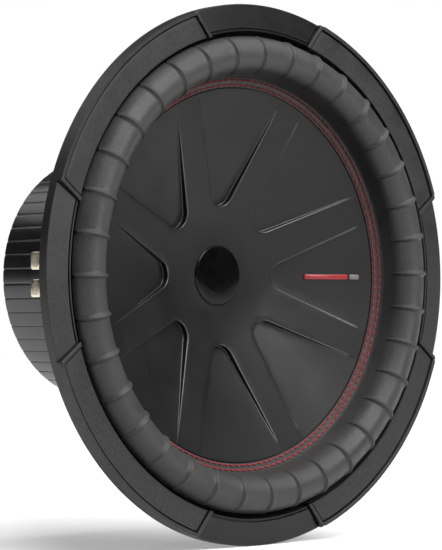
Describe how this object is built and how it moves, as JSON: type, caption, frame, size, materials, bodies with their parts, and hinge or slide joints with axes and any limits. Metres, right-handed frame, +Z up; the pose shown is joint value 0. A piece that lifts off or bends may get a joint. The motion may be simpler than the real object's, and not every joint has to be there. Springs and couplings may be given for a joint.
{
  "type": "car subwoofer driver",
  "caption": "Round car subwoofer driver: ribbed rubber surround, dished cone with spokes, trim ring, vented steel basket, booted magnet motor, spring push terminals.",
  "frame": {"origin": "on the speaker's axis, in the plane of the panel that the gasket bears on", "axes": "+Y along the axis from the cone to the motor, so the cone faces -Y; +Z up, +X to the right seen from the front"},
  "size_m": [0.318, 0.1561, 0.318],
  "materials": {
    "black_steel": "satin black powder coat on pressed steel",
    "gasket_foam": "closed-cell foam",
    "ring_plastic": "satin moulded black",
    "cover_plastic": "fine spark-grained black",
    "surround_rubber": "satin moulded rubber",
    "spider_cloth": "resin-treated woven cotton",
    "cone_polymer": "fine satin injection-moulded polymer",
    "brace_polymer": "matt polymer",
    "gloss_black": "gloss",
    "accent_enamel": "printed enamel, red with a pale end",
    "red_thread": "twisted polyester thread",
    "boot_rubber": "semi-gloss moulded rubber",
    "plated_steel": "black-zinc and plated steel",
    "ferrite": "ground ferrite",
    "former_aluminium": "rolled foil",
    "copper_wire": "enamelled copper wire",
    "lead_braid": "braided copper tinsel",
    "nickel": "nickel plate",
    "contact_brass": "turned brass, nickel flash",
    "block_plastic": "moulded nylon",
    "zinc_steel": "zinc-plated steel"
  },
  "bodies": {
    "root": {"basket": "black_steel", "panel_gasket": "gasket_foam", "trim_ring": "ring_plastic", "screw_cover_1": "cover_plastic", "screw_cover_2": "cover_plastic", "screw_cover_3": "cover_plastic", "screw_cover_4": "cover_plastic", "surround": "surround_rubber", "spider": "spider_cloth", "top_plate": "plated_steel", "magnet_front": "ferrite", "magnet_rear": "ferrite", "pole_yoke": "plated_steel", "vent_screen": "plated_steel", "motor_boot": "boot_rubber", "motor_screw_1": "zinc_steel", "motor_screw_2": "zinc_steel", "motor_screw_3": "zinc_steel", "motor_screw_4": "zinc_steel", "motor_screw_5": "zinc_steel", "motor_screw_6": "zinc_steel", "terminal_block_left": "block_plastic", "terminal_block_right": "block_plastic", "terminal_post_1": "contact_brass", "terminal_post_2": "contact_brass", "terminal_post_3": "contact_brass", "terminal_post_4": "contact_brass", "terminal_spring_1": "zinc_steel", "terminal_spring_2": "zinc_steel", "terminal_spring_3": "zinc_steel", "terminal_spring_4": "zinc_steel", "terminal_rivet_1": "zinc_steel", "terminal_rivet_2": "zinc_steel", "terminal_rivet_3": "zinc_steel", "terminal_rivet_4": "zinc_steel", "tinsel_lead_1": "lead_braid", "tinsel_lead_2": "lead_braid", "tinsel_lead_3": "lead_braid", "tinsel_lead_4": "lead_braid"},
    "diaphragm": {"cone": "cone_polymer", "centre_badge": "gloss_black", "accent_bar": "accent_enamel", "stitch_row_inner": "red_thread", "stitch_row_outer": "red_thread", "brace_cone": "brace_polymer", "coil_former": "former_aluminium", "coil_winding_inner": "copper_wire", "coil_winding_outer": "copper_wire"},
    "terminal_cap_1": {"terminal_cap_1": "nickel"},
    "terminal_cap_2": {"terminal_cap_2": "nickel"},
    "terminal_cap_3": {"terminal_cap_3": "nickel"},
    "terminal_cap_4": {"terminal_cap_4": "nickel"}
  },
  "joints": [
    {"name": "diaphragm_travel", "type": "slide", "parent": "root", "child": "diaphragm", "axis": [0, -1, 0], "range_m": [-0.013, 0.013], "stiffness_N_per_m": 6300, "deforming": ["surround", "spider", "tinsel_lead_1", "tinsel_lead_2", "tinsel_lead_3", "tinsel_lead_4"]},
    {"name": "cap_1_press", "type": "slide", "parent": "root", "child": "terminal_cap_1", "axis": [1, 0, 0], "range_m": [0, 0.0035], "stiffness_N_per_m": 800, "springref_m": -0.004, "deforming": ["terminal_spring_1"]},
    {"name": "cap_2_press", "type": "slide", "parent": "root", "child": "terminal_cap_2", "axis": [1, 0, 0], "range_m": [0, 0.0035], "stiffness_N_per_m": 800, "springref_m": -0.004, "deforming": ["terminal_spring_2"]},
    {"name": "cap_3_press", "type": "slide", "parent": "root", "child": "terminal_cap_3", "axis": [-1, 0, 0], "range_m": [0, 0.0035], "stiffness_N_per_m": 800, "springref_m": -0.004, "deforming": ["terminal_spring_3"]},
    {"name": "cap_4_press", "type": "slide", "parent": "root", "child": "terminal_cap_4", "axis": [-1, 0, 0], "range_m": [0, 0.0035], "stiffness_N_per_m": 800, "springref_m": -0.004, "deforming": ["terminal_spring_4"]}
  ]
}
